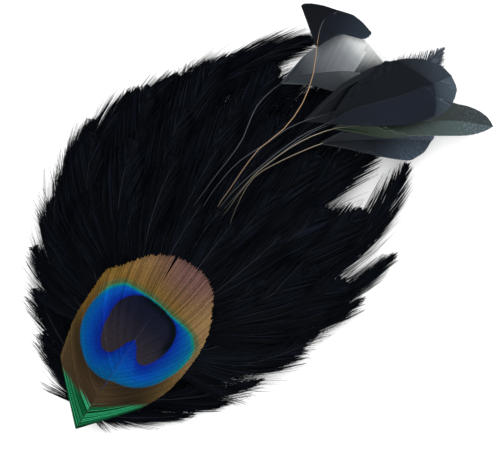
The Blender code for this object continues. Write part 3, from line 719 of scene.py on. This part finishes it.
# sizes of the hackles' barbs, those of each kind, and those of the down
hackleSizes = {
    "Barb Width": 0.4 * mm, "Barb Flat": 0.4, "Shortest": 0.8, "Few Long": 3.0, "Lock Pull": 0.3,
    "Lift": 0.7 * mm, "Stray": 0.4 * mm, "Tip Taper": 0.92, "Taper Power": 1.2, "Quill Width": 0.36 * mm,
    "Quill Thinnest": 0.4, "Barb Finish": blackHackle, "Quill Finish": hackleQuill,
}
kindSizes = {
    "even": {},
    "covered": {
        "Barb Steps": 4, "Barb Width": 0.56 * mm, "Taper Power": 1.8, "Shortest": 0.9, "Lock Pull": 0.15},
    "loose": {
        "Barb Width": 0.32 * mm, "Shortest": 0.76, "Few Long": 1.6, "Lock Pull": 0.15, "Stray": 0.6 * mm},
    "end": {"Shortest": 0.8, "Few Long": 1.5, "Lock Pull": 0.15, "Stray": 0.6 * mm},
}
downSizes = {
    "Barbs": 200, "Barb Width": 0.16 * mm, "Shortest": 0.3, "Few Long": 1.0, "Lock Pull": 0.4,
    "Lift": 1.2 * mm, "Stray": 1.2 * mm, "Tip Taper": 0.6, "Quill Width": 0.1 * mm,
}
downSeed = 100      # the down's seeds follow on from here


def hackleKind(rowName, number, tip):
    if rowName == "rim":
        return "loose" if tip[1] < hackle["looseBelow"][int(tip[0] > 0)] else "even"
    if rowName == "second" and number in (1, hackle["second"][0]):
        return "end"
    return "covered" if rowName in ("second", "third") else "even"


seed = 1
for rowName in ("rim", "second", "third", "fourth", "top"):
    places = hackle[rowName] if rowName == "rim" else fanRow(*hackle[rowName])
    for number, (root, tip, turn, width) in enumerate(places, 1):
        kind = hackleKind(rowName, number, tip)
        length = float(np.hypot(*(np.array(tip) - root)))
        barbs = int(min(hackle["most"], hackle["fewest"] + hackle["perLength"] * length))
        locks = length / hackle["looseLock" if kind == "loose" else "lock"]
        sizes = {**hackleSizes, "Barbs": barbs, "Locks": locks, "Seed": seed, **kindSizes[kind]}
        name = f"hackle_{rowName}_{number:02d}"
        makePlume(name, hacklePlan(root, tip, turn, width, kind), sizes)
        if kind == "loose":
            sizes = {**sizes, "Seed": downSeed + seed, **downSizes}
            makePlume(name, hacklePlan(root, tip, turn, width, "down"), sizes, "_down")
        seed += 1
print("hackles combed")

# the spray, in the order in which it lies: its quill up to the vane, the rest of its shaft up to the tip,
# the vane's edges on the left and the right up to the tip, and the share of them below the first barb
spray = {
    "spray_hackle": {
        "lead": 0.42,
        "quill": ((1.2, 60), (-1.3, 72.8), (-1, 78.5), (-0.4, 84.7), (0.3, 90.7), (2.4, 97.3), (4.7, 104.1),
                  (7.4, 110.3), (12.5, 117.9)),
        "shaft": ((17, 127.5), (21.4, 138.3), (24.1, 151.9)),
        "left": ((11.9, 121.7), (12.1, 132.5), (14.4, 141.8), (17, 144.8), (19.6, 147.2), (21.8, 149.6)),
        "right": ((16.2, 120.6), (21.6, 132.1), (26.6, 141.1), (27.2, 147), (25.9, 149.6)),
    },
    "spray_sheer": {
        "lead": 0.22,
        "quill": ((-9, 62), (-8.8, 81.2), (-8.4, 88.4), (-8.4, 95.6), (-9.7, 101.1), (-10.3, 104),
                  (-10.6, 107.4), (-9.7, 112.2), (-8.6, 115.6)),
        "shaft": ((-6.3, 119.2), (-2.6, 123), (3.2, 127.9), (8.7, 131.4), (14.2, 134.7)),
        "left": ((-8.6, 115.6), (-8.2, 116.8), (-8.2, 120.5), (-7.8, 124.9), (-7.2, 127.6), (-6.2, 129.7),
                 (-5.2, 132.7), (-3.7, 135.7), (-1.8, 137.9), (0.8, 139.2), (4.2, 139.3), (11.6, 137.4),
                 (13.6, 136.4)),
        "right": ((-8.6, 115.6), (-4.2, 118.7), (0, 120.7), (4.6, 122.2), (8.8, 125.3), (12.5, 130)),
    },
    "spray_low": {
        "lead": 0.2,
        "quill": ((5, 60), (3.3, 71.1), (1.7, 77.1), (0.5, 83.9), (0.6, 89.4), (2.8, 94.5), (5.9, 100.2),
                  (10.7, 107.9)),
        "shaft": ((17, 113.4), (26.2, 120.5), (36.5, 127.4)),
        "left": ((10.7, 107.9), (12.8, 112.5), (14.1, 114.5), (19.6, 119.8), (26.3, 125.5), (32.5, 129.2),
                 (36.4, 128.8)),
        "right": ((10.7, 107.9), (11.7, 107.9), (16.1, 110.5), (27.6, 115.2), (31.7, 117.2), (34.8, 119),
                  (36.7, 123.1)),
    },
    "spray_olive": {
        "lead": 0.2,
        "quill": ((0, 59), (-0.7, 71.2), (-0.3, 76.8), (-0.3, 82.6), (0.3, 89.9), (2.4, 96.8), (4.3, 102.1),
                  (7.2, 107.8), (11.1, 113.4)),
        "shaft": ((20.4, 121.4), (29.8, 129), (38.9, 135.8), (48.7, 140.6)),
        "left": ((11.1, 113.4), (11.8, 116.5), (15.3, 123.5), (22, 131.7), (28.9, 136.9), (37.2, 140),
                 (39.5, 141.1), (43, 141.9), (46.2, 141.8)),
        "right": ((11.1, 113.4), (14.2, 114.4), (18.9, 117.3), (21.8, 118.3), (25, 120), (31.5, 125.3),
                  (43.7, 133.9), (45.6, 135.7), (47.8, 138.5)),
    },
    "spray_spade_back": {
        "lead": 0.3,
        "quill": ((-6, 61), (-6.8, 77.1), (-6.5, 84.6), (-5.6, 90.1), (-3.6, 95.4), (-1.7, 99.9),
                  (0, 105.1), (3.2, 110.6)),
        "shaft": ((10.6, 120), (19.2, 130.3), (27, 140.3), (30.1, 145.2)),
        "left": ((3.2, 110.6), (3.7, 114.1), (3.8, 120.1), (7.7, 128.7), (10.2, 133.6), (12.6, 137.2),
                 (16.4, 141.3), (20.6, 144.3), (26.1, 145.9)),
        "right": ((3.2, 110.6), (12, 115.4), (21.6, 121.7), (29.4, 128.3), (33, 132.7), (34.6, 135.8),
                  (34.9, 138.6), (34.6, 140.7), (33.7, 143.1)),
    },
    "spray_spade_front": {
        "lead": 0.3,
        "quill": ((-3, 60), (-2.5, 73.8), (-2.3, 80.1), (-1.1, 86.8), (0.6, 93.6), (2.5, 100), (5, 106.8),
                  (9, 113.7)),
        "shaft": ((12.4, 120.9), (15.1, 124.3), (19.5, 129.6), (22.2, 133), (24, 135.7), (25.8, 138.4),
                  (27.1, 140.2)),
        "left": ((9, 113.7), (8, 116.1), (8.1, 120.8), (8.4, 124), (12.4, 137.6), (13.5, 138.2),
                 (17.5, 139.6), (21.3, 140)),
        "right": ((9, 113.7), (12.1, 116.1), (23.8, 123.4), (27.1, 126.1), (29.9, 128.9), (32.8, 133.1),
                  (31, 136.2)),
    },
    "spray_fan": {
        "lead": 0.05,
        "quill": ((2.4, 61), (-3.1, 74.2), (-3.1, 79.2), (-3.3, 85.2), (-3.3, 90.9), (-2.9, 96.9),
                  (-0.7, 103.6), (0, 109.3), (-0.5, 116.1), (-2.8, 123.6), (-6.2, 129.9)),
        "shaft": ((-8.2, 134.2), (-8.8, 137.8), (-6.9, 141.9)),
        "left": ((-6.2, 129.9), (-16.8, 137.3), (-14.7, 139), (-11.3, 140.6)),
        "right": ((-6.2, 129.9), (-5.2, 132.6), (-3.8, 135.5), (-1.6, 138), (0.8, 138.9), (3.5, 139.4),
                  (4.6, 141.9), (0.4, 143), (-2.8, 143.2)),
    },
}
spraySheet = {
    "rows": 24,             # of the quill, and as many of the vane
    "columns": 8,
    "quillHalf": 0.35,      # half width of the quill's stretch of the sheet
    "spare": 1.02,          # the longest barbs end this far out, as a share of the CAD solid's vane
}

trimmedSizes = {
    "Barb Width": 0.7 * mm, "Barb Flat": 0.12, "Tip Taper": 0.2, "Shortest": 0.985, "Uneven": 0.15,
    "Locks": 1.0, "Lock Pull": 0.0, "Lift": 0.0, "Stray": 0.0, "Barb From": 0.5, "Barb To": 1.0,
    "Quill Width": 0.34 * mm, "Quill Thinnest": 0.45, "Quill To": 0.985,
}
sprayLooks = {
    # node: slot, finish of its barbs, finish of its quill, sizes of its own
    "spray_hackle": ("hackle", paleHackle, darkQuill, {
        "Barbs": 620, "Barb Width": 0.09 * mm, "Tip Taper": 0.75, "Shortest": 0.75, "Lift": 0.15 * mm,
        "Stray": 0.25 * mm, "Locks": 60.0, "Uneven": 1.0}),
    "spray_sheer": ("sheer_vane", vaneFinish(
        "sheer grey vane", (-5.7, 121), (-0.3, 139.9),
        ((0.0, "#3c4249"), (0.15, "#545a61"), (0.28, "#6a6f75"), (0.45, "#7c8289"), (0.66, "#969ba1"),
         (0.78, "#b2b8bc"), (0.88, "#e0e4e4"), (1.0, "#fbfcfc")),
        ((0.0, "#444a4f"), (0.22, "#4e5359"), (0.42, "#5a5f65"), (0.62, "#8a8f94"), (0.76, "#b2b8bc"),
         (0.88, "#e0e4e4")), rough=0.5, shine=0.1), darkQuill, {
             "Barb Width": 0.5 * mm, "Tip Taper": 0.3, "Slit At": 0.3, "Slit Side": 1.0}),
    "spray_low": ("trimmed_vane", vaneFinish(
        "slate vane", (11, 108), (37, 128),
        ((0.0, "#1a1d21"), (0.5, "#1f262f"), (0.8, "#3c4754"), (1.0, "#4a5562")),
        ((0.0, "#1c1e22"), (0.45, "#1c232c"), (0.7, "#404d5b"), (1.0, "#566472")),
        rough=0.35, shine=0.25, glintsFrom=0.55), tanQuill, {}),
    # the olive's right side is painted lighter mid-run: painted light where the front spade's shadow falls
    "spray_olive": ("olive_vane", vaneFinish(
        "olive vane", (11, 114), (48, 141),
        ((0.0, "#222a24"), (0.3, "#2c362b"), (0.6, "#38413f"), (1.0, "#434c50")),
        ((0.0, "#252e25"), (0.25, "#324232"), (0.5, "#4c5a54"), (0.75, "#5a6a6a"), (1.0, "#617179")),
        rough=0.4, shine=0.25, glintsFrom=0.7), tanQuill, {}),
    "spray_spade_back": ("trimmed_vane", vaneFinish(
        "black vane", (3, 111), (30, 145),
        ((0.0, "#171a1f"), (0.7, "#1e242c"), (0.85, "#2f3842"), (1.0, "#434e5a")),
        ((0.0, "#171a1f"), (0.7, "#20262f"), (0.82, "#3b4652"), (1.0, "#53616e")),
        rough=0.35, shine=0.2), darkQuill, {
            "Slit At": 0.76, "Slit Side": 1.0, "Slit Wide": 0.007}),
    "spray_spade_front": ("trimmed_vane", vaneFinish(
        "blue-black vane", (9, 114), (27, 140), ((0.0, "#171b20"), (0.6, "#1b2027"), (1.0, "#1c2129")),
        ((0.0, "#1e232c"), (0.5, "#262c39"), (1.0, "#242a36")),
        rough=0.4, shine=0.1), darkQuill, {}),
    "spray_fan": ("trimmed_vane", vaneFinish(
        "fan vane", (-15, 138), (4, 142), ((0.0, "#13171d"), (0.6, "#171c24"), (1.0, "#28313d")),
        ((0.0, "#13171d"), (0.5, "#1b212a"), (1.0, "#323d49")),
        rough=0.4, shine=0.1), orangeQuill, {}),
}


def sprayPlan(lead, quill, shaft, left, right):
    # rows of the bare quill, then rows of the trimmed vane, whose edges meet at the shaft's end
    s = np.linspace(0, 1, spraySheet["rows"] + 1)
    bare = smoothLine(quill, s)[:-1]
    side = rightOf(bare) * spraySheet["quillHalf"]
    stem = acrossFrom(bare - side, bare, bare + side, spraySheet["columns"])
    middle = smoothLine((quill[-1], *shaft), s)
    left, right = (alongLine((*line, shaft[-1]), lead + (1 - lead) * s) for line in (left, right))
    vane = acrossFrom(left, middle, right, spraySheet["columns"])
    vane = middle[:, None] + (vane - middle[:, None]) * spraySheet["spare"]
    return np.concatenate([stem, vane])


for name, (slot, barbs, quill, own) in sprayLooks.items():
    sizes = {**trimmedSizes, "Seed": seed, "Barb Finish": barbs, "Quill Finish": quill, **own}
    makePlume(name, sprayPlan(**spray[name]), sizes)
    seed += 1
print("spray trimmed")


def eyePlan():
    # the eye's barbs spread from its shaft, the lowest along its pointed end
    columns = peacockEye["columns"]
    s = np.linspace(0, 1, peacockEye["rows"] + 1)
    middle = smoothLine(peacockEye["shaft"], s)
    plan = acrossFrom(smoothLine(peacockEye["left"], s), middle, smoothLine(peacockEye["right"], s), columns)
    u = np.linspace(-1, 1, columns + 1)[None, :, None]
    run = plan[:, [0] * (columns // 2) + [-1] * (columns // 2 + 1)] - middle[:, None]
    outward = np.sign(u) * np.stack([run[..., 1], -run[..., 0]], axis=-1)
    bow = peacockEye["bow"] * 4 * np.abs(u) * (1 - np.abs(u)) * np.sin(math.pi * s)[:, None, None]
    return plan + outward * bow


eyeSizes = {
    **trimmedSizes, "Barbs": 225, "Barb Steps": 10, "Barb Width": 0.44 * mm, "Barb Flat": 0.25,
    "Tip Taper": 0.6, "Taper Power": 9.0, "Shortest": 0.965, "Uneven": 0.5, "Barb From": 0.0, "Slit At": 0.93,
    "Slit Wide": 0.009, "Quill Width": 0.3 * mm, "Quill Thinnest": 0.5, "Quill To": 0.87, "Seed": seed,
    "Barb Finish": eyeFinish(), "Quill Finish": eyeQuill,
}
makePlume("peacock_eye", eyePlan(), eyeSizes)
print("peacock eye laid")

# the camera looks straight down from this far above the feathers, turned as the photo is
view = {"centre": (8.2, 40.9), "above": 900, "surface": 8, "width": 145, "turn": 35}
studio = {
    "floorHalf": 1.5,       # metres, as the lights' places and sizes
    "daylight": 0.72,
    "aim": (0, 0.03, 0),
    "lights": (("softbox", (-0.25, 0.3, 0.85), 0.9, 8.5), ("fill", (0.6, -0.3, 0.7), 0.9, 4)),
}

floor = newObject("floor", bpy.data.meshes.new("floor"))
ground = bmesh.new()
bmesh.ops.create_grid(ground, x_segments=1, y_segments=1, size=studio["floorHalf"])
ground.to_mesh(floor.data)
ground.free()
floor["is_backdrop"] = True
floor.data.materials.append(newFinish("pale floor", "#fbfbfb", rough=0.9)[0])

camera = newObject("camera", bpy.data.cameras.new("camera"))
camera.location = np.array((*view["centre"], view["surface"] + view["above"])) * mm
camera.rotation_euler = (0, 0, math.radians(view["turn"]))
camera.data.lens = camera.data.sensor_width * view["above"] / view["width"]
scene = bpy.context.scene
scene.camera = camera
scene.view_settings.view_transform = "Standard"

scene.world = bpy.data.worlds.new("studio")
scene.world.use_nodes = True
daylight = scene.world.node_tree.nodes["Background"].inputs
daylight["Color"].default_value = (1, 1, 1, 1)
daylight["Strength"].default_value = studio["daylight"]

for name, place, size, power in studio["lights"]:
    light = newObject(name, bpy.data.lights.new(name, "AREA"))
    light.data.size = size
    light.data.energy = power
    light.location = place
    light.rotation_euler = (Vector(studio["aim"]) - light.location).to_track_quat("-Z", "Y").to_euler()

triangles = {o.name: sum(len(p.vertices) - 2 for p in o.data.polygons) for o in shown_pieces()}
print("triangles", sum(triangles.values()), "most", max(triangles.values()))
